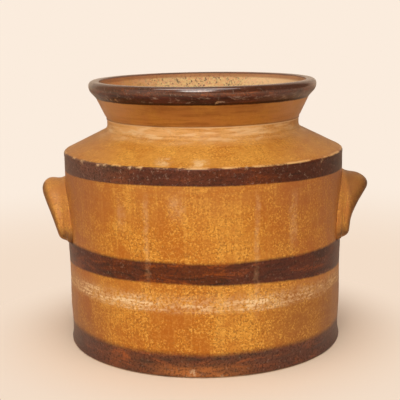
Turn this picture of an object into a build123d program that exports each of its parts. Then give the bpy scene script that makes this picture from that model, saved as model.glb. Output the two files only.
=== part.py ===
from build123d import *
import os
from math import cos, radians, sin, sqrt, tan

os.makedirs("parts", exist_ok=True)

# A wheel-thrown stoneware crock with two horseshoe lugs luted to its wall, and the two
# half-moon stones that hold the ferment under its brine. +Z is up, the origin is the middle
# of the foot, and the lugs stand on the X axis. All lengths are in millimetres.

# ---- The wall and the shoulder, outside ----
shoulder_radius = 160.1      # widest line of the jar, just under the shoulder's edge
wall_height = 221.2          # floor to the line where wall and shoulder meet
shoulder_edge = 2.5          # rounding of that line
shoulder_slope = 26.3        # degrees above level
foot_draw_in = 1.7           # how much narrower the foot is than the shoulder
foot_edge = 2.5              # rounding where the wall meets the floor
pinch_depth = 1.4            # shallow pinch that the trimming tool left above the foot
pinch_height = 15.0
belly_draw_in = 1.5          # low belly above the pinch, measured from the shoulder
belly_height = 44.0
waist_draw_in = 2.0          # the slight hollow half way up
waist_height = 92.0
throwing_curve = 60.0        # radius that blends one stretch of the wall into the next

# ---- The neck and the rolled rim, outside ----
neck_radius = 110.3
neck_root = 6.0              # fillet between shoulder and neck
neck_length = 10.9           # upright stretch, where a cover is tied down
crease = 8.0                 # fillet between the upright neck and the flare
flare_height = 24.0
flare_spread = 11.3          # how far the flare opens
rim_depth = 19.3             # the roll, from its underside to its crest
rim_overhang = 8.15          # how far the roll stands out past the flare
rim_face = 10.3              # the roll's outer face, down from the crest
rim_turn = 10.0              # rounding under that face
rim_crown = 5.5              # rounding over it
underside_turn = 2.0

# ---- The clay's thickness, and the inside ----
wall_thickness = 11.0
floor_thickness = 14.0
neck_thickness = 11.3
rim_width = 12.65            # crest, from the outer face to the mouth
mouth_edge = 5.0
throat_crease = 12.0
throat_root = 8.0
inner_shoulder_turn = 14.0
inner_floor_turn = 20.0

# ---- The foot ring ----
foot_ring_width = 20.0
foot_hollow = 2.0            # how far the middle of the underside stands clear
foot_hollow_slope = 60.0     # degrees from upright, where the ring gives way to the hollow

# ---- The lugs: a strap bent to a horseshoe, open downwards ----
lug_half_width = 43.0        # centre line of each leg, sideways from the lug's middle
lug_arch_height = 47.0       # centre line, from the end of the legs to the crown
lug_base_height = 130.5      # where the legs end and the toes begin
lug_toe_length = 7.5
lug_embed = 9.0              # clay behind the wall's face before the strap is fitted to it
leg_half_thickness = 7.8
seat_spread = 3.4            # how much wider the clay is smeared where the strap meets the wall
buried_spread = 2.6          # how much wider still it is at its buried end
flank_spread = 0.7           # what is left of that spread on the strap's flank
over_share = 0.7             # how much of the crown's extra height reaches out to the flank
flank_place = 0.4            # where the flank is, between the wall (0) and the nose (1)
nose_most = 0.55             # the round nose takes at most this share of the reach
arch_spans = 14               # spans along the arch
toe_drops = (0.6, 0.95)      # slices down each toe, as shares of its length
# reach: crown from the wall; toe_reach: the legs' ends; fullness: above 1 the legs bow out, below
# 1 they hollow in; crown_half: half the crown's thickness at its nose; crown_root: from the
# crown's centre line up to where its top meets the wall; nose: how blunt the nose is
lugs = {
    "lug_handle_left": dict(side=-1, reach=27.6, toe_reach=11.4, fullness=0.82,
                            crown_half=10.1, crown_root=12.2, nose=0.74),
    "lug_handle_right": dict(side=1, reach=30.7, toe_reach=10.0, fullness=0.02,
                             crown_half=12.0, crown_root=16.8, nose=1.10),
}

# ---- The weight stones ----
stone_clearance = 9.0        # all round, so that fingers can tip a stone out past the throat
stone_thickness = 22.0
stone_gap = 3.0              # between the two straight sides
stone_edge = 3.0
notch_radius = 14.0          # half-round finger notch in each straight side

# ---- Worked out from the sizes above ----
slope_rise = tan(radians(shoulder_slope))
neck_base = wall_height + (shoulder_radius - neck_radius) * slope_rise
neck_top = neck_base + neck_length
flare_top = neck_top + flare_height
height = flare_top + rim_depth
flare_radius = neck_radius + flare_spread
rim_radius = flare_radius + rim_overhang
mouth_radius = rim_radius - rim_width
throat_radius = neck_radius - neck_thickness
inner_radius = shoulder_radius - wall_thickness
shoulder_drop = wall_thickness / cos(radians(shoulder_slope))
inner_shoulder = wall_height + wall_thickness * slope_rise - shoulder_drop
inner_neck_base = wall_height + (shoulder_radius - throat_radius) * slope_rise - shoulder_drop
foot_radius = shoulder_radius - foot_draw_in
stone_radius = throat_radius - stone_clearance

# ---- The jar as a closed form: every outer surface, with no hollow yet ----
with BuildPart() as jar_form:
    with BuildSketch(Plane.YZ):
        with BuildLine():
            FilletPolyline(
                (0, 0),
                (foot_radius, 0),
                (foot_radius - pinch_depth, pinch_height),
                (shoulder_radius - belly_draw_in, belly_height),
                (shoulder_radius - waist_draw_in, waist_height),
                (shoulder_radius, wall_height),
                (neck_radius, neck_base),
                (neck_radius, neck_top),
                (flare_radius, flare_top),
                (rim_radius, height - rim_face),
                (rim_radius, height),
                (0, height),
                radius=(foot_edge, throwing_curve, throwing_curve, throwing_curve,
                        shoulder_edge, neck_root, crease, underside_turn, rim_turn, rim_crown),
            )
            Line((0, height), (0, 0))
        make_face()
    revolve(axis=Axis.Z)

# ---- The crock: the form, hollowed from the mouth and trimmed under the foot ----
with BuildPart() as crock_body:
    add(jar_form.part)
    with BuildSketch(Plane.XZ):
        with BuildLine():
            FilletPolyline(
                (0, floor_thickness),
                (inner_radius, floor_thickness),
                (inner_radius, inner_shoulder),
                (throat_radius, inner_neck_base),
                (throat_radius, neck_top),
                (mouth_radius, height),
                (0, height),
                radius=(inner_floor_turn, inner_shoulder_turn, throat_root, throat_crease, 0),
            )
            Line((0, height), (0, floor_thickness))
        make_face()
    revolve(axis=Axis.Z, mode=Mode.SUBTRACT)
    crest = crock_body.faces().filter_by(Plane.XY).sort_by(Axis.Z)[-1]
    fillet(crest.edges().sort_by(SortBy.RADIUS)[0], radius=mouth_edge)
    with BuildSketch(Plane.XY):
        Circle(foot_radius - foot_ring_width)
    extrude(amount=foot_hollow, taper=foot_hollow_slope, mode=Mode.SUBTRACT)
crock_body.part.label = "crock_body"
export_step(crock_body.part, "parts/crock_body.step")


def strap_section(plane, reach, nose_half, over_root, nose):
    """One slice across the strap: a tongue with a round nose and a spread root on the wall."""
    nose_start = reach - min(nose_half * nose, reach * nose_most)
    flank = nose_start * flank_place
    seat_half = nose_half + seat_spread
    buried = seat_half + buried_spread
    with BuildSketch(plane) as section:
        with BuildLine():
            tongue = Spline(
                (-lug_embed, buried),
                (0, seat_half),
                (flank, nose_half + flank_spread),
                (nose_start, nose_half),
                (reach, 0),
                (nose_start, -nose_half),
                (flank, -nose_half - flank_spread - over_root * over_share),
                (0, -seat_half - over_root),
                (-lug_embed, -buried - over_root),
            )
            Line(tongue @ 1, tongue @ 0)
        make_face()
    return section.sketch


def make_lug(side, reach, toe_reach, fullness, crown_half, crown_root, nose):
    """A horseshoe strap: up one leg, over the crown and down the other, seated on the wall."""
    leg_wall = sqrt(shoulder_radius ** 2 - lug_half_width ** 2)
    crown_over = crown_root - crown_half - seat_spread

    def toe_slice(leg, drop):
        """The blunt end of a leg (-1 front, 1 back), a share of the toe's length below it."""
        shrink = sqrt(1 - drop ** 2)
        half = leg_half_thickness * (1 + shrink) / 2
        plane = Plane(
            origin=(leg_wall, leg * lug_half_width, lug_base_height - drop * lug_toe_length),
            x_dir=(1, 0, 0), z_dir=(0, 0, -leg),
        )
        return strap_section(plane, toe_reach * shrink, half, 0, nose)

    def arch_slice(turn):
        """The strap at an angle from the crown, -90 at the front leg and 90 at the back one."""
        rise, y_share = cos(radians(turn)), sin(radians(turn))
        y = lug_half_width * y_share
        along = (0, lug_half_width * rise, -lug_arch_height * y_share)
        bulge = fullness * rise + (1 - fullness) * rise ** 2
        half = leg_half_thickness + (crown_half - leg_half_thickness) * rise
        plane = Plane(
            origin=(sqrt(shoulder_radius ** 2 - y ** 2), y, lug_base_height + lug_arch_height * rise),
            x_dir=(1, 0, 0), z_dir=along,
        )
        strap_reach = toe_reach + (reach - toe_reach) * bulge
        return strap_section(plane, strap_reach, half, crown_over * rise ** 2, nose)

    slices = [toe_slice(-1, drop) for drop in reversed(toe_drops)]
    slices += [arch_slice(180 * step / arch_spans - 90) for step in range(arch_spans + 1)]
    slices += [toe_slice(1, drop) for drop in toe_drops]
    with BuildPart() as lug:
        loft(sections=slices)
        add(jar_form.part, mode=Mode.SUBTRACT)
        if side < 0:
            mirror(about=Plane.YZ, mode=Mode.REPLACE)
    return lug


for name, form in lugs.items():
    lug = make_lug(**form)
    lug.part.label = name
    export_step(lug.part, f"parts/{name}.step")

# ---- The weight stones, lying on the crock's floor ----
for name, turn in {"weight_stone_front": 0, "weight_stone_back": 180}.items():
    with BuildPart() as stone:
        with BuildSketch(Plane.XY.offset(floor_thickness).rotated((0, 0, turn))):
            Circle(stone_radius)
            with Locations((0, stone_radius - stone_gap / 2)):
                Rectangle(2 * stone_radius, 2 * stone_radius, mode=Mode.SUBTRACT)
            Circle(notch_radius, mode=Mode.SUBTRACT)
        extrude(amount=stone_thickness)
        fillet(stone.edges(), radius=stone_edge)
    stone.part.label = name
    export_step(stone.part, f"parts/{name}.step")
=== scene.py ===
import bmesh
import bpy
import math
import random
from mathutils import Euler, Matrix, Vector, noise


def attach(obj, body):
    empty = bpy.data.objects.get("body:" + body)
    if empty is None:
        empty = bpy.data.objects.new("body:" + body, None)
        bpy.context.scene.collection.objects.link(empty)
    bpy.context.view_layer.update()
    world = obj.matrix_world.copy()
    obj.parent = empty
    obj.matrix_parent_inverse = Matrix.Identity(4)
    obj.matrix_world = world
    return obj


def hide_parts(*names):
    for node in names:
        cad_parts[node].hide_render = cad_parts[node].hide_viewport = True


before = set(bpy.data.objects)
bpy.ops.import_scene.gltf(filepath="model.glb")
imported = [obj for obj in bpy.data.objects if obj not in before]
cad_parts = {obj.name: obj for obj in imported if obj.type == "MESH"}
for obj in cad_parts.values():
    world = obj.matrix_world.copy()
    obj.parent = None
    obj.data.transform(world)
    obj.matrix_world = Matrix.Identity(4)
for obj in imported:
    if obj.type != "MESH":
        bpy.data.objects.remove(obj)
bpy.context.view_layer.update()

mm = 0.001
print("frame loaded")


# small helpers for modelling

def deselectAll():
    if bpy.context.object and bpy.context.object.mode != "OBJECT":
        bpy.ops.object.mode_set(mode="OBJECT")
    bpy.ops.object.select_all(action="DESELECT")


def makeActive(piece):
    deselectAll()
    piece.select_set(True)
    bpy.context.view_layer.objects.active = piece


def pick(piece, kind, test):
    # in edit mode, selects the vertices, edges or faces that pass the test
    bpy.ops.mesh.select_mode(type=kind)
    bpy.ops.mesh.select_all(action="DESELECT")
    mesh = bmesh.from_edit_mesh(piece.data)
    items = {"VERT": mesh.verts, "EDGE": mesh.edges, "FACE": mesh.faces}[kind]
    for item in items:
        if test(item):
            item.select_set(True)
    bmesh.update_edit_mesh(piece.data)


def applyAll(piece):
    makeActive(piece)
    for modifier in list(piece.modifiers):
        bpy.ops.object.modifier_apply(modifier=modifier.name)


def unevenness(piece, name, width, depth, group=""):
    # hand-made wobble that only ever takes clay away, so the piece stays inside its size
    cloud = bpy.data.textures.new(name, "CLOUDS")
    cloud.noise_scale = width * mm
    cloud.noise_depth = 1
    wobble = piece.modifiers.new(name, "DISPLACE")
    wobble.texture = cloud
    wobble.texture_coords = "LOCAL"
    wobble.mid_level = 1.0
    wobble.strength = depth * mm
    wobble.vertex_group = group


def unit(value):
    # kept between 0 and 1
    return min(1.0, max(0.0, value))


def smoothFaces(piece):
    makeActive(piece)
    bpy.ops.object.shade_smooth()


# small helpers for materials

def tone(red, green, blue):
    # a colour as a screen shows it, 0 to 255, turned into linear light
    return tuple(((part / 255 + 0.055) / 1.055) ** 2.4 for part in (red, green, blue)) + (1.0,)


def place(tree, kind, inputs, **settings):
    # one node, with its settings, and with each input linked or given its value
    made = tree.nodes.new(kind)
    for name, value in settings.items():
        setattr(made, name, value)
    for name, value in inputs.items():
        if isinstance(value, bpy.types.NodeSocket):
            tree.links.new(value, made.inputs[name])
        else:
            made.inputs[name].default_value = value
    return made


def sums(tree, operation, first, second=0.0, third=0.0, clamp=False):
    return place(tree, "ShaderNodeMath", {0: first, 1: second, 2: third},
                 operation=operation, use_clamp=clamp).outputs[0]


def rise(tree, value, low, high, start=0.0, end=1.0):
    # 0 below low, 1 above high, and a soft step between them
    return place(tree, "ShaderNodeMapRange",
                 {"Value": value, "From Min": low, "From Max": high,
                  "To Min": start, "To Max": end},
                 interpolation_type="SMOOTHSTEP").outputs["Result"]


def mingle(tree, factor, under, over):
    return place(tree, "ShaderNodeMix", {0: factor, 6: under, 7: over},
                 data_type="RGBA").outputs[2]


def grain(tree, vector, scale, detail=2.0, roughness=0.5, distortion=0.0):
    return place(tree, "ShaderNodeTexNoise",
                 {"Vector": vector, "Scale": scale, "Detail": detail, "Roughness": roughness,
                  "Distortion": distortion}).outputs[0]


def stretch(tree, vector, across, upward):
    return place(tree, "ShaderNodeVectorMath",
                 {0: vector, 1: (across, across, upward)}, operation="MULTIPLY").outputs[0]


def times(tree, *parts):
    product = parts[0]
    for part in parts[1:]:
        product = sums(tree, "MULTIPLY", product, part)
    return product


def within(tree, value, zone, low=0.0, high=1.0):
    # rises between the zone's first two values, holds, and falls between its last two
    return times(tree, rise(tree, value, zone[0], zone[1], low, 1.0),
                 rise(tree, value, zone[2], zone[3], high, 0.0))


def lay(tree, under, over, *shares):
    # one colour over another, by the product of its shares
    return mingle(tree, times(tree, *shares), under, over)


def layers(tree, base, rows, look, drivers):
    # each row: a colour, what drives it, from and to, and its share at either end
    for colour, driver, low, high, start, end in rows:
        share = rise(tree, drivers[driver], low, high, start, end)
        base = mingle(tree, share, base, look[colour])
    return base


def weigh(tree, total, *rows):
    # adds each value times its weight
    for value, weight in rows:
        total = sums(tree, "MULTIPLY_ADD", value, weight, total)
    return total


def nearSpots(tree, vector, spots, core, strength, total=0.0):
    # strong at each spot, and gone at its size away from it
    for where, size in spots:
        away = place(tree, "ShaderNodeVectorMath", {0: vector, 1: where},
                     operation="DISTANCE").outputs["Value"]
        total = sums(tree, "ADD", total, rise(tree, away, size * core, size, strength, 0.0))
    return total


def roughen(tree, shader, relief, strength, depth):
    bump = place(tree, "ShaderNodeBump",
                 {"Height": relief, "Strength": strength, "Distance": depth})
    tree.links.new(bump.outputs["Normal"], shader.inputs["Normal"])


def newGroup(name, inputs, outputs):
    tree = bpy.data.node_groups.new(name, "ShaderNodeTree")
    for label, value in inputs.items():
        kind = "NodeSocketVector" if value is None else "NodeSocketFloat"
        socket = tree.interface.new_socket(label, in_out="INPUT", socket_type=kind)
        if value is not None:
            socket.default_value = value
    for label in outputs:
        tree.interface.new_socket(label, in_out="OUTPUT", socket_type="NodeSocketFloat")
    return tree, tree.nodes.new("NodeGroupInput").outputs, tree.nodes.new("NodeGroupOutput")


def useGroup(tree, group, inputs):
    return place(tree, "ShaderNodeGroup", inputs, node_tree=group).outputs


# a painted band of glaze: a soft step at its lower and upper line, each a little unsteady
bandGroup, given, result = newGroup(
    "glaze band",
    {"Vector": None, "Bottom": 0.0, "Top": 0.02, "Lower Edge": 0.001, "Upper Edge": 0.001,
     "Wobble": 0.002, "Ragged": 0.0006, "Lower Tilt": 0.0, "Lower Sag": 0.0},
    ("Mask",))
nodes = bandGroup
spot = place(nodes, "ShaderNodeSeparateXYZ", {0: given["Vector"]}).outputs
slow = sums(nodes, "SUBTRACT", grain(nodes, stretch(nodes, given["Vector"], 1, 0.2), 11, 2), 0.5)
fine = sums(nodes, "SUBTRACT",
            grain(nodes, stretch(nodes, given["Vector"], 1, 0.3), 210, 3, 0.6), 0.5)
sway = weigh(nodes, times(nodes, fine, given["Ragged"]), (slow, given["Wobble"]))
level = sums(nodes, "MULTIPLY_ADD", sway, 2.0, spot["Z"])
sagging = times(nodes, spot["X"], spot["X"], given["Lower Sag"])
leaning = weigh(nodes, sagging, (spot["X"], given["Lower Tilt"]))
lowerLine = sums(nodes, "ADD", given["Bottom"], leaning)
overLower = rise(nodes, level, sums(nodes, "SUBTRACT", lowerLine, given["Lower Edge"]),
                 sums(nodes, "ADD", lowerLine, given["Lower Edge"]))
underUpper = rise(nodes, level, sums(nodes, "SUBTRACT", given["Top"], given["Upper Edge"]),
                  sums(nodes, "ADD", given["Top"], given["Upper Edge"]), 1.0, 0.0)
nodes.links.new(times(nodes, overLower, underUpper), result.inputs["Mask"])

# the pebbled skin of a salt glaze: small dimples, darker specks and broad clouds
skinGroup, given, result = newGroup(
    "salt glaze skin", {"Vector": None, "Size": 1.0},
    ("Dimples", "Specks", "Glints", "Clouds", "Patches"))
nodes = skinGroup
scaled = place(nodes, "ShaderNodeVectorMath", {0: given["Vector"], "Scale": given["Size"]},
               operation="SCALE").outputs[0]
cells = place(nodes, "ShaderNodeTexVoronoi", {"Vector": scaled, "Scale": 620.0},
              feature="SMOOTH_F1").outputs["Distance"]
skinEffects = {
    "Dimples": weigh(nodes, grain(nodes, scaled, 330, 3, 0.6), (cells, 0.6)),
    "Specks": rise(nodes, grain(nodes, scaled, 450, 2, 0.7), 0.48, 0.64),
    "Glints": rise(nodes, grain(nodes, scaled, 430, 2, 0.72), 0.49, 0.62),
    "Clouds": grain(nodes, scaled, 38, 4, 0.62, 0.4),
    "Patches": grain(nodes, scaled, 9, 3, 0.5),
}
for label, effect in skinEffects.items():
    nodes.links.new(effect, result.inputs[label])

# lines the wheel left around the jar, and runs that the glaze left down it
streakGroup, given, result = newGroup(
    "wheel lines and runs", {"Vector": None}, ("Lines", "Runs", "Drips"))
nodes = streakGroup
streakEffects = {       # how far it is drawn out around and upward, then its grain
    "Lines": (0.09, 1, 330, 4, 0.65),
    "Runs": (1, 0.055, 125, 4, 0.6),
    "Drips": (1, 0.05, 36, 2, 0.5),
}
for label, (across, upward, scale, detail, roughness) in streakEffects.items():
    drawn = stretch(nodes, given["Vector"], across, upward)
    nodes.links.new(grain(nodes, drawn, scale, detail, roughness), result.inputs[label])

# pale lime or clay that shows in broken flecks
fleckGroup, given, result = newGroup(
    "pale flecks", {"Vector": None, "Scale": 300.0, "Amount": 0.5}, ("Mask",))
nodes = fleckGroup
broken = grain(nodes, given["Vector"], given["Scale"], 5, 0.72)
threshold = sums(nodes, "SUBTRACT", 1.0, times(nodes, given["Amount"], 0.7))
fleckEdge = 0.09
nodes.links.new(rise(nodes, broken, sums(nodes, "SUBTRACT", threshold, fleckEdge),
                     sums(nodes, "ADD", threshold, fleckEdge)), result.inputs["Mask"])


def flecks(tree, vector, scale, amount):
    return useGroup(tree, fleckGroup,
                    {"Vector": vector, "Scale": scale, "Amount": amount})["Mask"]


print("shared glaze effects built")

honeyGlaze = {
    "honey": tone(201, 130, 36),
    "amber": tone(180, 103, 24),
    "straw": tone(234, 178, 80),
    "olive": tone(184, 130, 46),
    "rosy": tone(156, 95, 58),
    "shoulder": tone(208, 146, 60),
    "collar": tone(236, 186, 122),
    "neck": tone(150, 94, 40),
    "neckPale": tone(182, 120, 58),
    "flareSideSheen": tone(203, 148, 96),
    "grit": tone(134, 72, 18),
    "wiped": tone(118, 66, 24),
    "shadeAndBurntBrown": tone(78, 46, 26),
    "band": tone(92, 38, 10),
    "bandRed": tone(166, 82, 22),
    "bandRust": tone(178, 104, 36),
    "bandNight": tone(34, 15, 8),
    "bandPlum": tone(72, 40, 44),
    "bandGrey": tone(160, 136, 120),
    "lime": tone(236, 204, 156),
    "bareClay": tone(214, 176, 134),
    "groundLayers": [
        ("honey", "clouds", 0.36, 0.64, 0.0, 1.0),
        ("straw", "patches", 0.4, 0.7, 0.0, 0.35),
        ("olive", "patches", 0.28, 0.42, 0.4, 0.0),
        ("rosy", "height", 0.15, 0.198, 0.0, 0.3),
        ("shoulder", "height", 0.2205, 0.2235, 0.0, 0.6),
        ("straw", "runs", 0.30, 0.50, 0.34, 0.0),
        ("amber", "runs", 0.54, 0.75, 0.0, 0.35),
        ("amber", "lines", 0.5, 0.72, 0.0, 0.45),
        ("amber", "strokes", 0.5, 0.62, 0.0, 0.4),
    ],
    "flareLayers": [
        ("neckPale", "height", 0.258, 0.279, 0.75, 0.0),
        ("wiped", "lines", 0.44, 0.62, 0.0, 0.55),
        # painted sheen: the flare paler toward the sides, where it mirrors the bright floor
        ("flareSideSheen", "aside", 0.05, 0.115, 0.0, 0.9),
        ("olive", "clouds", 0.4, 0.7, 0.0, 0.4),
    ],
    # bottom, top, softness of each edge, wobble, raggedness, tilt and sag of the lower edge
    "shoulderBand": (0.2032, 0.2216, 0.0009, 0.0004, 0.0012, 0.0005, 0.0, -0.10),
    "bellyBand": (0.1005, 0.1232, 0.0014, 0.0022, 0.0020, 0.0009, -0.020, -0.276),
    "footBand": (-0.02, 0.0262, 0.001, 0.0042, 0.0026, 0.0012, 0.0, 0.0),
    "rimBand": (0.2806, 0.32, 0.0007, 0.001, 0.0010, 0.0006, 0.0, 0.0),
    # zones: the heights where each begins, is full, begins to end and has ended
    "limeZone": (0.068, 0.0745, 0.077, 0.090),
    "limeDust": (0.066, 0.076, 0.082, 0.096),
    "rightFoot": (0.03, 0.055, 0.078, 0.094),
    "upperWall": (0.15, 0.20, 0.23, 0.24),
    "thinLitEdge": (0.2200, 0.2212, 0.2216, 0.2228),
    "collarZone": (0.2365, 0.2485, 0.2560, 0.2570),
    "litRaisedLine": (0.2553, 0.2558, 0.2566, 0.2570),
    "creaseShadeLine": (0.2568, 0.2573, 0.2576, 0.2588),
    "underRoll": (0.2822, 0.2840, 0.2880, 0.2915),
    "shoulderLine": (0.2205, 0.2235),
    "flareLine": (0.2560, 0.2572),
    "coatLine": (0.2890, 0.2945),
    # where, and how wide
    "limeSpots": [((-0.125, -0.098, 0.082), 0.026), ((-0.075, -0.138, 0.075), 0.03),
                  ((0.06, -0.147, 0.077), 0.03)],
    "paleAndLitMarks": [((-0.003, -0.153, 0.2245), 0.015), ((-0.040, -0.143, 0.2275), 0.013)],
    # degrees from the front, from and to height, half width in degrees, strength
    "paleRuns": [
        (-33, 0.150, 0.190, 2.8, 0.22), (-22, 0.095, 0.198, 1.6, 0.22),
        (-10, 0.166, 0.200, 4.4, 0.32), (20, 0.060, 0.200, 1.6, 0.2),
        (36, 0.130, 0.196, 3.0, 0.2), (130, 0.090, 0.200, 1.6, 0.24),
        (174, 0.120, 0.200, 2.4, 0.24), (-118, 0.060, 0.180, 1.6, 0.24)],
    "speckle": 1.0,
    "roughness": 0.38,
    "bumpHeight": 0.00022,
    "shine": {"Coat Roughness": 0.17, "Coat IOR": 1.9, "IOR": 1.33},
}


def newMaterial(name):
    made = bpy.data.materials.new(name)
    made.use_nodes = True
    tree = made.node_tree
    tree.nodes.clear()
    shader = tree.nodes.new("ShaderNodeBsdfPrincipled")
    output = tree.nodes.new("ShaderNodeOutputMaterial")
    tree.links.new(shader.outputs["BSDF"], output.inputs["Surface"])
    spot = tree.nodes.new("ShaderNodeTexCoord").outputs["Object"]
    return made, tree, shader, spot


def bandMask(tree, spot, values):
    bottom, top, lowerEdge, upperEdge, wobble, ragged, tilt, sag = values
    return useGroup(tree, bandGroup, {
        "Vector": spot, "Bottom": bottom, "Top": top, "Lower Edge": lowerEdge,
        "Upper Edge": upperEdge, "Wobble": wobble, "Ragged": ragged,
        "Lower Tilt": tilt, "Lower Sag": sag})["Mask"]


def makeHoneyGlaze(look, name):
    made, tree, shader, spot = newMaterial(name)
    skin = useGroup(tree, skinGroup, {"Vector": spot, "Size": 1.0})
    streaks = useGroup(tree, streakGroup, {"Vector": spot})
    axes = place(tree, "ShaderNodeSeparateXYZ", {0: spot}).outputs
    across, height = axes["X"], axes["Z"]
    aside = sums(tree, "ABSOLUTE", across)
    strokes = grain(tree, stretch(tree, spot, 0.22, 1), 120, 4, 0.65, 0.6)
    drivers = {"clouds": skin["Clouds"], "patches": skin["Patches"], "height": height,
               "runs": streaks["Runs"], "lines": streaks["Lines"], "strokes": strokes,
               "aside": aside}

    # the honey ground, speckled in patches, plainer round the sides; rosier and darker round the
    # sides as painted shade where the wall turns from the light, most toward the right
    ground = layers(tree, look["amber"], look["groundLayers"], look, drivers)
    onShoulder = rise(tree, height, *look["shoulderLine"])
    sides = sums(tree, "MAXIMUM", rise(tree, aside, 0.085, 0.14),
                 rise(tree, across, 0.045, 0.105, 0.0, 0.7))
    plainer = rise(tree, aside, 0.055, 0.135, 0.0, -0.6)
    speckled = times(tree, rise(tree, skin["Clouds"], 0.36, 0.58, 0.25, 1.0),
                     sums(tree, "ADD", plainer, look["speckle"]),
                     rise(tree, height, 0.13, 0.19, 1.15, 0.75))
    rosiness = times(tree, rise(tree, height, 0.14, 0.20, 0.5, 0.72),
                     rise(tree, height, *look["shoulderLine"], 1.0, 0.48))
    ground = lay(tree, ground, look["rosy"], sides, rosiness)
    # painted shade: darker low on the sides, toward the foot
    ground = lay(tree, ground, look["shadeAndBurntBrown"], sides, rise(tree, height, 0.02, 0.10, 0.3, 0.0))
    ground = lay(tree, ground, look["wiped"], rise(tree, across, 0.04, 0.10, 0.0, 0.3),
                 within(tree, height, look["rightFoot"], low=0.35))
    ground = lay(tree, ground, look["straw"], skin["Glints"], speckled, 0.72)
    ground = lay(tree, ground, look["grit"], skin["Specks"], speckled, 0.6)

    # thin pale glaze on the upright collar, painted paler still as light from above on its
    # upward-facing fillet; deeper and wiped in lines on the flare above it, whose sides are painted
    # paler as a sheen from the bright floor
    onCollar = times(tree, within(tree, height, look["collarZone"]),
                     rise(tree, streaks["Lines"], 0.4, 0.62, 1.0, 0.35),
                     rise(tree, across, 0.03, 0.10, 1.0, 0.6))
    ground = lay(tree, ground, look["collar"], onCollar, 0.85)
    creamLines = grain(tree, stretch(tree, spot, 0.2, 1), 190, 3, 0.6)
    ground = lay(tree, ground, look["lime"], onCollar, rise(tree, creamLines, 0.5, 0.6, 0.0, 0.6))
    flare = layers(tree, look["neck"], look["flareLayers"], look, drivers)
    ground = lay(tree, ground, flare, rise(tree, height, *look["flareLine"]), 0.88)

    # a painted highlight along the raised line between them, and a line of painted shade in the
    # crease above it
    ground = lay(tree, ground, look["lime"], within(tree, height, look["litRaisedLine"]), 0.7)
    ground = lay(tree, ground, look["shadeAndBurntBrown"], within(tree, height, look["creaseShadeLine"], high=0.35))

    # pale streaks running down the wall at listed angles
    angle = sums(tree, "ARCTAN2", across, sums(tree, "MULTIPLY", axes["Y"], -1.0))
    unsteady = weigh(tree, sums(tree, "SUBTRACT", angle, 0.03),
                     (grain(tree, spot, 45, 3, 0.6), 0.06))
    paleRuns = 0.0
    for degrees, low, high, width, strength in look["paleRuns"]:
        fromLine = sums(tree, "ABSOLUTE",
                        sums(tree, "SUBTRACT", unsteady, math.radians(degrees)))
        beside = rise(tree, fromLine, math.radians(width * 0.2), math.radians(width),
                      strength, 0.0)
        along = within(tree, height, (low - 0.006, low + 0.02, high - 0.02, high + 0.006))
        paleRuns = sums(tree, "ADD", paleRuns, times(tree, beside, along))
    paleRuns = times(tree, paleRuns,
                     rise(tree, grain(tree, spot, 150, 4, 0.7), 0.36, 0.6, 0.2, 0.85))

    # on the lugs: painted shade over the right one, turned from the light, and along the ridge,
    # which faces down and away from it, with the glaze fired darker there too; at the toes, glaze
    # pooled dark, with painted shade where each lug's end meets the wall
    ground = lay(tree, ground, look["shadeAndBurntBrown"], rise(tree, across, 0.160, 0.166),
                 rise(tree, skin["Patches"], 0.35, 0.6, 0.45, 0.2))
    ridge = place(tree, "ShaderNodeAttribute", {}, attribute_name="ridge").outputs["Fac"]
    ground = lay(tree, ground, look["shadeAndBurntBrown"], ridge,
                 rise(tree, skin["Clouds"], 0.3, 0.6, 0.35, 1.0), 0.9)

    # the painted iron bands
    masks = {name: bandMask(tree, spot, look[name])
             for name in ("shoulderBand", "bellyBand", "footBand", "rimBand")}
    bands = 0.0
    for mask in masks.values():
        bands = sums(tree, "MAXIMUM", bands, mask)
    upperWall = within(tree, height, look["upperWall"])
    iron = lay(tree, look["band"], look["bandRed"], rise(tree, strokes, 0.5, 0.68, 0.0, 0.75),
               weigh(tree, 1.0, (upperWall, -0.5)))
    iron = lay(tree, iron, look["bandNight"], rise(tree, strokes, 0.34, 0.48, 0.85, 0.0))
    iron = lay(tree, iron, look["bandPlum"], rise(tree, skin["Patches"], 0.5, 0.62, 0.0, 0.38))
    # painted shade and sheen: the bands turn plum toward the sides
    iron = lay(tree, iron, look["bandPlum"], sides, 0.55)
    # painted shade on the upper band toward the right, and a painted grey sheen on its left
    iron = lay(tree, iron, look["bandNight"], upperWall, rise(tree, across, 0.03, 0.11, 0.0, 0.32))
    iron = lay(tree, iron, look["bandGrey"], upperWall,
               rise(tree, across, -0.13, -0.05, 0.16, 0.0))
    fromFront = sums(tree, "ABSOLUTE", sums(tree, "ADD", angle, 0.05))
    iron = lay(tree, iron, look["bandRust"], rise(tree, height, 0.007, 0.018, 1.0, 0.0),
               rise(tree, fromFront, 0.1, 0.45, 0.75, 0.0),
               rise(tree, strokes, 0.4, 0.55, 0.5, 1.0))
    iron = lay(tree, iron, look["bandGrey"], masks["footBand"], 0.1)
    iron = lay(tree, iron, look["bandNight"], skin["Specks"], 0.6)
    # painted shade: a dark line along the very bottom of the foot, where it meets the floor
    iron = lay(tree, iron, look["bandNight"], rise(tree, height, 0.0010, 0.0026, 0.8, 0.0))
    iron = lay(tree, iron, look["bandGrey"], flecks(tree, spot, 300.0, 0.51),
               rise(tree, height, 0.13, 0.20, 0.4, 0.7))
    colour = lay(tree, ground, iron, bands, 0.97)
    colour = lay(tree, colour, look["lime"], paleRuns, weigh(tree, 1.0, (bands, -0.5)))

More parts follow.
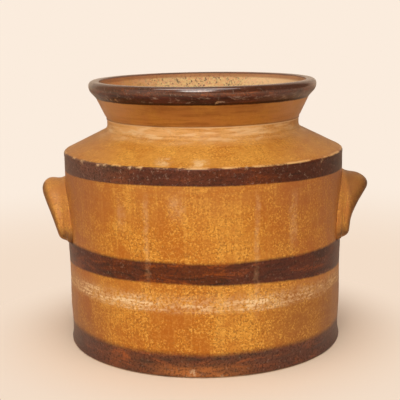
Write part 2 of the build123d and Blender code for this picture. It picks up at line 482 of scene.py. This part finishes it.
    # the rim's roll: darker over its top, with a painted shadow along its lower edge where it
    # overhangs the flare; drier and greyer underneath, its downward-facing side also darkened as
    # painted shade
    rollTopAndShadowLine = sums(tree, "MAXIMUM", rise(tree, height, 0.2930, 0.2950, 0.0, 0.35),
                     times(tree, masks["rimBand"],
                           rise(tree, height, 0.2820, 0.2842, 0.85, 0.0)))
    colour = lay(tree, colour, look["bandNight"], rollTopAndShadowLine)
    underRoll = within(tree, height, look["underRoll"])
    colour = lay(tree, colour, look["bandPlum"], underRoll, 0.65)
    colour = lay(tree, colour, look["bandNight"], underRoll,
                 rise(tree, strokes, 0.4, 0.55, 0.7, 0.1))
    colour = lay(tree, colour, look["bandGrey"], underRoll,
                 flecks(tree, stretch(tree, spot, 0.45, 1), 230.0, 0.56), 0.8)
    colour = lay(tree, colour, look["bandGrey"], underRoll,
                 rise(tree, across, 0.04, 0.10, 0.0, 0.22))

    # the shoulder's edge, where the glaze drew thin, painted pale also as the highlight it catches,
    # and two pale marks above it, the front one a painted highlight
    colour = lay(tree, colour, look["collar"], within(tree, height, look["thinLitEdge"]),
                 rise(tree, grain(tree, spot, 60, 4, 0.7), 0.44, 0.6), 0.75)
    colour = lay(tree, colour, look["lime"], nearSpots(tree, spot, look["paleAndLitMarks"], 0.1, 0.6),
                 rise(tree, grain(tree, spot, 85, 5, 0.75), 0.44, 0.58), onShoulder)

    # dry lime in broken lines round the lower wall
    limeLines = grain(tree, stretch(tree, spot, 0.11, 1), 330, 4, 0.72, 0.5)
    limeLines = times(tree, within(tree, height, look["limeZone"]),
                      rise(tree, limeLines, 0.46, 0.6, 0.12, 1.0))
    limePatch = nearSpots(tree, spot, look["limeSpots"], 0.3, 1.1,
                          rise(tree, grain(tree, spot, 13, 2), 0.34, 0.6, 0.3, 0.9))
    lime = weigh(tree, within(tree, height, look["limeDust"], high=0.22), (limeLines, limePatch))
    lime = times(tree, lime, rise(tree, grain(tree, spot, 300, 3, 0.72), 0.385, 0.56, 0.08, 1.05),
                 rise(tree, across, 0.06, 0.12, 1.0, 0.9))
    colour = mingle(tree, sums(tree, "MULTIPLY", lime, 0.8, clamp=True), colour, look["lime"])

    # glaze knocked off the edges
    bare = place(tree, "ShaderNodeAttribute", {}, attribute_name="bare").outputs["Fac"]
    worn = times(tree, bare, flecks(tree, spot, 300.0, 0.7))
    colour = lay(tree, colour, look["bareClay"], worn)
    tree.links.new(colour, shader.inputs["Base Color"])

    gloss = weigh(tree, look["roughness"] - 0.09, (skin["Clouds"], 0.18), (lime, 0.25),
                  (masks["rimBand"], -0.08), (onCollar, 0.15))
    gloss = sums(tree, "MULTIPLY_ADD", worn, 0.4, gloss, clamp=True)
    tree.links.new(gloss, shader.inputs["Roughness"])
    tree.links.new(rise(tree, height, *look["coatLine"]), shader.inputs["Coat Weight"])
    for label, value in look["shine"].items():
        shader.inputs[label].default_value = value
    relief = weigh(tree, skin["Dimples"], (streaks["Lines"], 0.5), (streaks["Drips"], 1.2),
                   (worn, -1.2))
    roughen(tree, shader, relief, 0.9, look["bumpHeight"])
    return made


limedInside = {
    "ochre": tone(218, 156, 90),
    "rosy": tone(220, 158, 116),
    "lime": tone(226, 196, 134),
    "orange": tone(206, 120, 58),
    "pale": tone(255, 214, 162),
    "gap": tone(70, 44, 22),
    "crest": tone(160, 98, 54),
    "crestDark": tone(112, 68, 48),
    "groundLayers": [
        ("rosy", "clouds", 0.35, 0.65, 0.0, 1.0),
        ("orange", "patches", 0.48, 0.6, 0.0, 0.7),
    ],
    "topLayers": [
        # painted light: paler toward the right side, where the lamps leave the inside in shade
        ("pale", "across", 0.03, 0.09, 0.0, 0.75),
        ("crest", "height", 0.2925, 0.2955, 0.0, 0.8),
        ("crestDark", "height", 0.2972, 0.2988, 0.0, 1.0),
        ("ochre", "lines", 0.5, 0.75, 0.0, 0.3),
    ],
    "skinSize": 0.62,
    "roughness": 0.55,
    "bumpHeight": 0.0003,
}


def makeInsideGlaze(look):
    made, tree, shader, spot = newMaterial("limed inner glaze")
    skin = useGroup(tree, skinGroup, {"Vector": spot, "Size": look["skinSize"]})
    streaks = useGroup(tree, streakGroup, {"Vector": spot})
    axes = place(tree, "ShaderNodeSeparateXYZ", {0: spot}).outputs
    drivers = {"clouds": skin["Clouds"], "patches": skin["Patches"], "lines": streaks["Lines"],
               "across": axes["X"], "height": axes["Z"]}
    ground = layers(tree, look["ochre"], look["groundLayers"], look, drivers)
    # a crust of lime with dark gaps, in drifts, least at the left
    crust = flecks(tree, spot, 400.0, 0.72)
    drift = times(tree, rise(tree, grain(tree, spot, 12, 2), 0.36, 0.58, 0.4, 1.0),
                  rise(tree, axes["X"], -0.085, -0.045, 0.25, 1.0))
    ground = lay(tree, ground, look["gap"], skin["Specks"], drift)
    ground = lay(tree, ground, look["lime"], crust, drift)
    ground = layers(tree, ground, look["topLayers"], look, drivers)
    tree.links.new(ground, shader.inputs["Base Color"])
    tree.links.new(weigh(tree, look["roughness"] - 0.1, (crust, 0.25)), shader.inputs["Roughness"])
    relief = sums(tree, "ADD", skin["Dimples"], crust)
    roughen(tree, shader, relief, 0.9, look["bumpHeight"])
    return made


bareClay = {
    "clay": tone(176, 148, 116),
    "dark": tone(128, 98, 72),
    "pale": tone(206, 184, 152),
    "iron": tone(84, 52, 34),
    "groundLayers": [
        ("clay", "clouds", 0.3, 0.7, 0.0, 1.0),
        ("pale", "patches", 0.4, 0.7, 0.0, 0.6),
    ],
    "skinSize": 0.7,
    "roughness": 0.82,
    "bumpHeight": 0.0004,
}


def makeBareClay(look, name):
    made, tree, shader, spot = newMaterial(name)
    skin = useGroup(tree, skinGroup, {"Vector": spot, "Size": look["skinSize"]})
    drivers = {"clouds": skin["Clouds"], "patches": skin["Patches"]}
    ground = layers(tree, look["dark"], look["groundLayers"], look, drivers)
    ground = lay(tree, ground, look["iron"], flecks(tree, spot, 420.0, 0.5), 0.7)
    tree.links.new(ground, shader.inputs["Base Color"])
    tree.links.new(weigh(tree, look["roughness"] - 0.07, (skin["Clouds"], 0.15)),
                   shader.inputs["Roughness"])
    roughen(tree, shader, skin["Dimples"], 1.0, look["bumpHeight"])
    return made


honeySaltGlaze = makeHoneyGlaze(honeyGlaze, "honey salt glaze")
lugGlaze = makeHoneyGlaze(dict(honeyGlaze, speckle=1.3, rosy=tone(196, 132, 74),
                               honey=tone(206, 142, 52)), "lug salt glaze")
limedGlaze = makeInsideGlaze(limedInside)
footClay = makeBareClay(bareClay, "bare foot clay")
stoneClay = makeBareClay(dict(bareClay, clay=tone(186, 164, 134)), "stone clay")
print("materials built")

# the jar's outline, from under the foot, up the outside, over the rim and down inside
jar = {
    "outside": [        # radius, height, rounding, all in millimetres
        (20, 2, 0),
        (134.9, 2, 1.5),
        (138.4, 0, 1.5),
        (158.4, 0, 2.5),
        (157.0, 15, 60),
        (158.6, 44, 60),
        (158.1, 92, 60),
        (160.1, 221.2, 2.5),
        (110.3, 245.8, 6),
        (110.25, 255.4, 1),     # the fine raised line between collar and flare
        (110.95, 256.2, 0.5),
        (110.95, 257.0, 0.5),
        (110.75, 257.9, 2),
        (121.6, 280.7, 2),
        (129.75, 289.7, 10),
        (129.75, 300, 5.5),
    ],
    "inside": [
        (117.1, 300, 5),
        (99, 256.7, 12),
        (99, 239.1, 8),
        (149.1, 214.4, 14),
        (149.1, 14, 20),
        (20, 14, 0),
    ],
    "arcStep": 1.4,              # spacing of points round a corner
    "outsideSpacing": 2.6,       # and along the outline
    "insideSpacing": 6.0,
    "undersideTop": 2.2,         # below this it is spaced like the inside
    "slack": 1.35,               # how many times its spacing a span may be
    "halvings": 9,
    "turns": 320,
    "weld": 0.02,
    # the throwing rings: how close together, their place in the noise, and their share
    "ringNoise": ((95, 3.1, 1.0), (260, 8.2, 0.5)),
    "rings": (4, 296),           # their lowest and highest point
    "outsideRingsTop": 217,
    "insideRingsSpan": (30, 200),
    "outsideRings": 0.22,        # and their depth
    "insideRings": 0.9,
    "outOfTrue": (130, 0.8),     # how wide and how deep
    "dimples": (21, 0.3),
    "rimTruer": 0.4,             # the rim's share of them
    "rimFrom": 260,
    "top": 300,
    "rimFade": 40,               # inside, they are gone this far below the top
    "footFade": 12,
    # where the wall stays true for a lug: half its width, its middle, half its height
    "lugRoom": (58, 152, 45),
    "lugFade": 30,
    "bareFoot": (2.3, 157.6),    # no glaze below this height, within this radius
    # chips along an edge: how many, height, radius, size
    "chips": [(22, 221.3, 159.6, 2.4), (8, 2.0, 158.2, 2.4)],
    # chips in their own places: degrees from the front, height, radius, size
    "markedChips": [
        (-54.5, 220.6, 159.6, 4.6), (-43.6, 220.6, 159.6, 3.8), (-40.2, 221.4, 159.6, 4.2),
        # the two at -28 and -24 degrees, on the shoulder's edge, are chips that also stand in for
        # its painted highlight
        (-28.0, 221.6, 159.2, 3.6), (-24.0, 221.8, 159.0, 3.2), (52.0, 219.5, 159.8, 3.0),
        (-60.0, 283.5, 124.5, 2.3), (-56.5, 283.8, 124.8, 2.8), (-52.5, 283.6, 124.6, 2.4),
        (-47.5, 283.7, 124.7, 2.8), (7.0, 283.2, 124.2, 2.6), (57.0, 284.4, 125.4, 2.2),
        (-5.0, 6.0, 157.5, 4.5)],
    "chipDepth": 0.5,
    "seed": 7,
}

# the hollow's lines, in millimetres
hollow = {
    "floor": 13,
    "bellyRadius": 149.1,
    "bellyTop": 214.4,
    "shoulderSpread": 2.03,
    "throatRadius": 99,
    "throatFoot": 239.1,
    "throatTop": 256.7,
    "mouthSpread": 0.418,
    "margin": 1.3,
}


def nearInside(radius, height):
    # true for the hollow's own surface
    level = height / mm
    if level < hollow["floor"]:
        return False
    edge = hollow["throatRadius"]
    if level > hollow["throatTop"]:
        edge += (level - hollow["throatTop"]) * hollow["mouthSpread"]
    elif level <= hollow["bellyTop"]:
        edge = hollow["bellyRadius"]
    elif level <= hollow["throatFoot"]:
        edge += (hollow["throatFoot"] - level) * hollow["shoulderSpread"]
    return radius < (edge + hollow["margin"]) * mm


def makeJar(look):
    deselectAll()
    corners = look["outside"] + look["inside"]
    points = [Vector((radius * mm, 0, height * mm)) for radius, height, rounding in corners]
    bpy.ops.mesh.primitive_plane_add(size=0.01, location=(0, 0, 0))
    made = bpy.context.object
    made.name = made.data.name = "crockGlazedJar"
    bpy.ops.object.mode_set(mode="EDIT")
    bpy.ops.mesh.merge(type="CENTER")
    bpy.ops.transform.translate(value=points[0])
    for before, after in zip(points, points[1:]):
        bpy.ops.mesh.extrude_region_move(TRANSFORM_OT_translate={"value": after - before})

    # each corner is rounded to its own radius
    for index, (radius, height, rounding) in enumerate(corners):
        if rounding:
            arriving = points[index] - points[index - 1]
            leaving = points[index + 1] - points[index]
            turn = arriving.angle(leaving)
            pick(made, "VERT", lambda v, at=points[index]: (v.co - at).length < look["weld"] * mm)
            bpy.ops.mesh.bevel(offset=rounding * mm * math.tan(turn / 2), affect="VERTICES",
                               segments=max(2, round(rounding * turn / look["arcStep"])))

    # long spans are halved until they can carry the wheel's rings
    def isLong(edge):
        middle = (edge.verts[0].co + edge.verts[1].co) / 2
        hidden = nearInside(middle.x, middle.z) or middle.z < look["undersideTop"] * mm
        spacing = look["insideSpacing"] if hidden else look["outsideSpacing"]
        return edge.calc_length() > spacing * look["slack"] * mm

    for halving in range(look["halvings"]):
        pick(made, "EDGE", isLong)
        bpy.ops.mesh.subdivide(number_cuts=1)
    mesh = bmesh.from_edit_mesh(made.data)
    for v in mesh.verts:
        radius, height = v.co.x, v.co.z
        if not look["rings"][0] * mm <= height <= look["rings"][1] * mm:
            continue
        ring = sum(share * noise.noise(Vector((height * pitch, row, 0)))
                   for pitch, row, share in look["ringNoise"])
        if nearInside(radius, height):
            if look["insideRingsSpan"][0] * mm < height < look["insideRingsSpan"][1] * mm:
                v.co.x += look["insideRings"] * mm * ring
        elif height < look["outsideRingsTop"] * mm:
            v.co.x -= look["outsideRings"] * mm * (ring + 1.0)
    bmesh.update_edit_mesh(made.data)

    bpy.ops.mesh.select_all(action="SELECT")
    bpy.ops.mesh.spin(steps=look["turns"], angle=2 * math.pi, center=(0, 0, 0), axis=(0, 0, 1))
    bpy.ops.mesh.select_all(action="SELECT")
    bpy.ops.mesh.remove_doubles(threshold=look["weld"] * mm)
    for low, high in ((1, 3), (13, 15)):       # the small holes left on the axis
        pick(made, "EDGE", lambda e: e.is_boundary and low * mm < e.verts[0].co.z < high * mm)
        bpy.ops.mesh.edge_face_add()
        bpy.ops.mesh.poke()
    bpy.ops.mesh.select_all(action="SELECT")
    bpy.ops.mesh.normals_make_consistent(inside=False)
    bpy.ops.object.mode_set(mode="OBJECT")

    # only the outside and the rim are out of true: the stones need a flat floor,
    # and the wall is true where the lugs sit on it
    outer = made.vertex_groups.new(name="outside")
    halfWidth, lugMiddle, halfHeight = look["lugRoom"]
    for v in made.data.vertices:
        level = v.co.z / mm
        if nearInside(math.hypot(v.co.x, v.co.y), v.co.z):
            weight = max(0.0, 1 - (look["top"] - level) / look["rimFade"])
        else:
            besideLug = max(abs(v.co.y / mm) - halfWidth, abs(level - lugMiddle) - halfHeight)
            weight = unit(level / look["footFade"]) * unit(besideLug / look["lugFade"])
        if level > look["rimFrom"]:
            weight *= look["rimTruer"]
        outer.add([v.index], weight, "REPLACE")
    unevenness(made, "out of true", *look["outOfTrue"], "outside")
    unevenness(made, "dimples", *look["dimples"], "outside")
    applyAll(made)
    return made


def chipEdges(piece, look):
    # small chips along the shoulder's edge, under the rim's roll and round the foot
    chance = random.Random(look["seed"])
    bare = piece.data.attributes.new("bare", "FLOAT", "POINT")
    chips = []
    for count, height, radius, size in look["chips"]:
        for number in range(count):
            turn = chance.uniform(0, 2 * math.pi)
            chips.append((Vector((radius * math.cos(turn), radius * math.sin(turn), height)) * mm,
                          size * chance.uniform(0.5, 1.4) * mm))
    for angle, height, radius, size in look["markedChips"]:
        turn = math.radians(angle)
        centre = Vector((radius * math.sin(turn), -radius * math.cos(turn), height))
        chips.append((centre * mm, size * mm))
    normals = [v.normal.copy() for v in piece.data.vertices]
    for v, normal in zip(piece.data.vertices, normals):
        most = 0.0
        for centre, size in chips:
            if abs(v.co.z - centre.z) < size:
                away = (v.co - centre).length / size
                if away < 1:
                    most = max(most, 1 - away * away)
        if most > 0:
            bare.data[v.index].value = most
            v.co -= normal * most * look["chipDepth"] * mm


glazedJar = makeJar(jar)
chipEdges(glazedJar, jar)
for material in (honeySaltGlaze, limedGlaze, footClay):
    glazedJar.data.materials.append(material)
bareTop, bareRadius = jar["bareFoot"]
for face in glazedJar.data.polygons:
    middle = face.center
    radius = math.hypot(middle.x, middle.y)
    if nearInside(radius, middle.z):
        face.material_index = 1
    elif middle.z < bareTop * mm and radius < bareRadius * mm:
        face.material_index = 2
smoothFaces(glazedJar)
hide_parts("crock_body")
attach(glazedJar, "crock")
print("jar modelled,", len(glazedJar.data.polygons), "faces")

lugLook = {
    "grid": 1.05,         # millimetres between points
    "skirtHeight": 6.5,   # how far up the strap the wiped-on clay climbs
    "skirtSpread": 3.8,   # how far it is smeared over the wall
    "skirtAbove": 0.25,   # and how much of that is left above the crown
    "softening": 4,
    "sunk": 0.9,          # how deep its thin edge sits in the wall
    "sunkWithin": 2.5,    # and how near the wall that begins
    "seatFrom": -0.5,
    "strapFrom": 6,       # further out than this it is the free strap
    "bend": (30, 0.45),
    "dimples": (9, 0.22),
    "ridgeFacing": 0.5,   # the darkened ridge, partly darker glaze and partly painted shade, looks outward at least this squarely
    "ridgeMost": 0.8,
    "toeLine": 142.0,     # from here down the glaze gathers dark, with painted shade under the lug's end
    "toeFade": 13,        # and is darkest this much lower
    "toeMost": 0.95,
}
wallWaist = {"radius": 158.1, "height": 92, "lean": 0.01548}


def copyOf(node, name):
    # a mesh of its own, with the frame's loose triangles joined up
    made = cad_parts[node].copy()
    made.data = made.data.copy()
    made.name = made.data.name = name
    bpy.context.scene.collection.objects.link(made)
    made.parent = None
    for key in list(made.keys()):
        del made[key]
    made.data.materials.clear()
    makeActive(made)
    bpy.ops.object.mode_set(mode="EDIT")
    bpy.ops.mesh.select_all(action="SELECT")
    bpy.ops.mesh.remove_doubles(threshold=0.01 * mm)
    bpy.ops.object.mode_set(mode="OBJECT")
    return made


def evenGrid(made, size):
    remesh = made.modifiers.new("even grid", "REMESH")
    remesh.mode = "VOXEL"
    remesh.voxel_size = size * mm
    applyAll(made)


def proudOfWall(spot):
    # how far a point stands out from the wall, in millimetres
    wall = wallWaist["radius"] + (spot.z / mm - wallWaist["height"]) * wallWaist["lean"]
    return math.hypot(spot.x, spot.y) / mm - wall


def makeLug(node, name, look):
    made = copyOf(node, name)
    evenGrid(made, look["grid"])
    # clay is smeared from the strap over the wall, thinner and thinner
    normals = [v.normal.copy() for v in made.data.vertices]
    for v, normal in zip(made.data.vertices, normals):
        outward = Vector((v.co.x, v.co.y, 0)).normalized()
        reach = proudOfWall(v.co)
        share = unit(1 - reach / look["skirtHeight"])
        sideways = normal - outward * normal.dot(outward)
        if sideways.z > 0:
            sideways.z *= look["skirtAbove"]
        v.co += sideways * look["skirtSpread"] * mm * share ** 3
        v.co -= outward * look["sunk"] * mm * unit(1 - reach / look["sunkWithin"])
    made.data.update()
    evenGrid(made, look["grid"])
    seat = made.vertex_groups.new(name="seat")
    strap = made.vertex_groups.new(name="strap")
    for v in made.data.vertices:
        reach = proudOfWall(v.co)
        seat.add([v.index], 1.0 if reach > look["seatFrom"] else 0.0, "REPLACE")
        strap.add([v.index], unit(reach / look["strapFrom"]), "REPLACE")
    wiped = made.modifiers.new("wiped", "SMOOTH")
    wiped.factor = 0.5
    wiped.iterations = look["softening"]
    wiped.vertex_group = "seat"
    unevenness(made, name + "Bend", *look["bend"], "strap")
    unevenness(made, name + "Dimples", *look["dimples"], "strap")
    applyAll(made)
    made.data.materials.append(lugGlaze)
    made.data.attributes.new("bare", "FLOAT", "POINT")
    # the ridge and toe mask: darker and pooled glaze, with painted shade
    ridge = made.data.attributes.new("ridge", "FLOAT", "POINT")
    for v in made.data.vertices:
        outward = Vector((v.co.x, v.co.y, 0)).normalized()
        facing = (v.normal.dot(outward) - look["ridgeFacing"]) / (1 - look["ridgeFacing"])
        onStrap = proudOfWall(v.co) > look["strapFrom"]
        crown = min(look["ridgeMost"], max(0.0, facing)) if onStrap else 0.0
        toe = unit((look["toeLine"] - v.co.z / mm) / look["toeFade"]) * look["toeMost"]
        ridge.data[v.index].value = max(crown, toe)
    smoothFaces(made)
    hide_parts(node)
    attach(made, "crock")
    return made


leftLug = makeLug("lug_handle_left", "lugLeft", lugLook)
rightLug = makeLug("lug_handle_right", "lugRight", lugLook)
print("lugs modelled,", len(leftLug.data.polygons), "and", len(rightLug.data.polygons), "faces")

stoneLook = {"grid": 1.8, "bend": (40, 0.8), "pits": (7, 0.5)}


def makeStone(node, name, body, look):
    made = copyOf(node, name)
    evenGrid(made, look["grid"])
    unevenness(made, name + "Uneven", *look["bend"])
    unevenness(made, name + "Pits", *look["pits"])
    applyAll(made)
    made.data.materials.append(stoneClay)
    smoothFaces(made)
    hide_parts(node)
    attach(made, body)
    return made


makeStone("weight_stone_front", "weightStoneFront", "stone_front", stoneLook)
makeStone("weight_stone_back", "weightStoneBack", "stone_back", stoneLook)
print("weight stones modelled")

studio = {
    "floor": tone(247, 224, 200),
    "table": tone(243, 221, 200),
    "wall": tone(251, 236, 221),
    "stageSize": 6,
    "stageHeight": 4,
    "stageBend": 1.4,
    # place, height it is aimed at, size, power, colour
    "lamps": {
        "key": ((-0.15, -1.75, 1.25), 0.15, (1.1, 1.1), 16.6, (1.0, 0.96, 0.9)),
        "fill": ((-1.5, -1.0, 0.7), 0.15, (1.6, 1.6), 1.5, (1.0, 0.95, 0.9)),
        "top": ((-0.08, -0.42, 1.5), 0.3, (1.4, 0.7), 7.5, (1.0, 0.96, 0.92)),
    },
    "skyFront": 0.66,
    "skyBehind": 0.14,
    "glossLeft": 0.38,
    "glossRight": 0.13,
    "skySpan": (-0.35, 0.85),       # from behind to the front
    "glossSpan": (-0.6, 0.9),       # from one side to the other
    "mirrored": tone(255, 212, 172),
    "cameraPlace": (0, -1.09629, 0.37442),
    "cameraTilt": 0.194487,
    "cameraTurn": 0.0040925,
    "cameraRoll": -0.0144373,
    "lens": 85.9,
    "sensor": 36.0,
}


def makeStage(look):
    deselectAll()
    bpy.ops.mesh.primitive_plane_add(size=look["stageSize"], location=(0, 0, 0))
    made = bpy.context.object
    made.name = made.data.name = "paleSweep"
    nearBack = look["stageSize"] / 2 - 0.1
    bpy.ops.object.mode_set(mode="EDIT")
    pick(made, "EDGE", lambda e: all(v.co.y > nearBack for v in e.verts))
    bpy.ops.mesh.extrude_region_move(
        TRANSFORM_OT_translate={"value": (0, 0, look["stageHeight"])})
    pick(made, "EDGE", lambda e: all(v.co.y > nearBack and v.co.z < 0.1 for v in e.verts))
    bpy.ops.mesh.bevel(offset=look["stageBend"], segments=24)
    bpy.ops.object.mode_set(mode="OBJECT")
    surface, tree, shader, spot = newMaterial("pale floor")
    height = place(tree, "ShaderNodeSeparateXYZ", {0: spot}).outputs["Z"]
    cloud = grain(tree, spot, 3.0, 3, 0.5)
    ground = mingle(tree, rise(tree, height, 0.0, 0.6), look["floor"], look["wall"])
    ground = mingle(tree, rise(tree, cloud, 0.4, 0.8, 0.0, 0.06), ground, look["floor"])
    tree.links.new(ground, shader.inputs["Base Color"])
    shader.inputs["Roughness"].default_value = 0.85
    # the far part is lit like studio paper, but only for what the camera sees
    away = place(tree, "ShaderNodeVectorMath", {0: stretch(tree, spot, 1.25, 1)},
                 operation="LENGTH").outputs["Value"]
    behind = rise(tree, away, 0.16, 0.36)
    paper = mingle(tree, rise(tree, away, 0.5, 1.3), look["table"], look["wall"])
    glow = place(tree, "ShaderNodeEmission", {"Color": paper, "Strength": 1.0}).outputs[0]
    seen = times(tree, behind, tree.nodes.new("ShaderNodeLightPath").outputs["Is Camera Ray"])
    both = place(tree, "ShaderNodeMixShader",
                 {0: seen, 1: shader.outputs["BSDF"], 2: glow}).outputs[0]
    tree.links.new(both, tree.nodes["Material Output"].inputs["Surface"])
    made.data.materials.append(surface)
    smoothFaces(made)


def addLamp(name, spot, aim, size, power, colour):
    lamp = bpy.data.lights.new(name, "AREA")
    lamp.shape = "ELLIPSE"
    lamp.size, lamp.size_y = size
    lamp.energy = power
    lamp.color = colour
    holder = bpy.data.objects.new(name, lamp)
    bpy.context.scene.collection.objects.link(holder)
    holder.location = spot
    holder.rotation_euler = (Vector((0, 0, aim)) - Vector(spot)).to_track_quat("-Z", "Y").to_euler()


makeStage(studio)
for name, values in studio["lamps"].items():
    addLamp(name, *values)

world = bpy.context.scene.world or bpy.data.worlds.new("studio")
bpy.context.scene.world = world
world.use_nodes = True
sky = world.node_tree.nodes.get("Background") or world.node_tree.nodes.new("ShaderNodeBackground")
# brightest from the front; what the glaze mirrors is darker, and darkest on the right
room = world.node_tree
ray = place(room, "ShaderNodeSeparateXYZ", {
    0: room.nodes.new("ShaderNodeNewGeometry").outputs["Incoming"]}).outputs
lit = rise(room, ray["Y"], *studio["skySpan"], studio["skyBehind"], studio["skyFront"])
mirrored = rise(room, ray["X"], *studio["glossSpan"], studio["glossRight"], studio["glossLeft"])
path = room.nodes.new("ShaderNodeLightPath").outputs
dimmed = place(room, "ShaderNodeMapRange", {
    "Value": path["Is Glossy Ray"], "To Min": lit, "To Max": mirrored}).outputs["Result"]
dimmed = place(room, "ShaderNodeMapRange", {
    "Value": path["Is Camera Ray"], "To Min": dimmed, "To Max": 1.0}).outputs["Result"]
room.links.new(dimmed, sky.inputs["Strength"])
room.links.new(mingle(room, path["Is Glossy Ray"], studio["wall"], studio["mirrored"]),
               sky.inputs["Color"])
bpy.context.scene.view_settings.view_transform = "Standard"

camera = bpy.data.objects.new("camera", bpy.data.cameras.new("camera"))
bpy.context.scene.collection.objects.link(camera)
camera.data.lens = studio["lens"]
camera.data.sensor_width = studio["sensor"]
turned = Euler((math.pi / 2 - studio["cameraTilt"], 0, studio["cameraTurn"])).to_matrix()
turned = turned @ Matrix.Rotation(studio["cameraRoll"], 3, "Z")
camera.matrix_world = Matrix.Translation(studio["cameraPlace"]) @ turned.to_4x4()
bpy.context.scene.camera = camera
print("studio set")
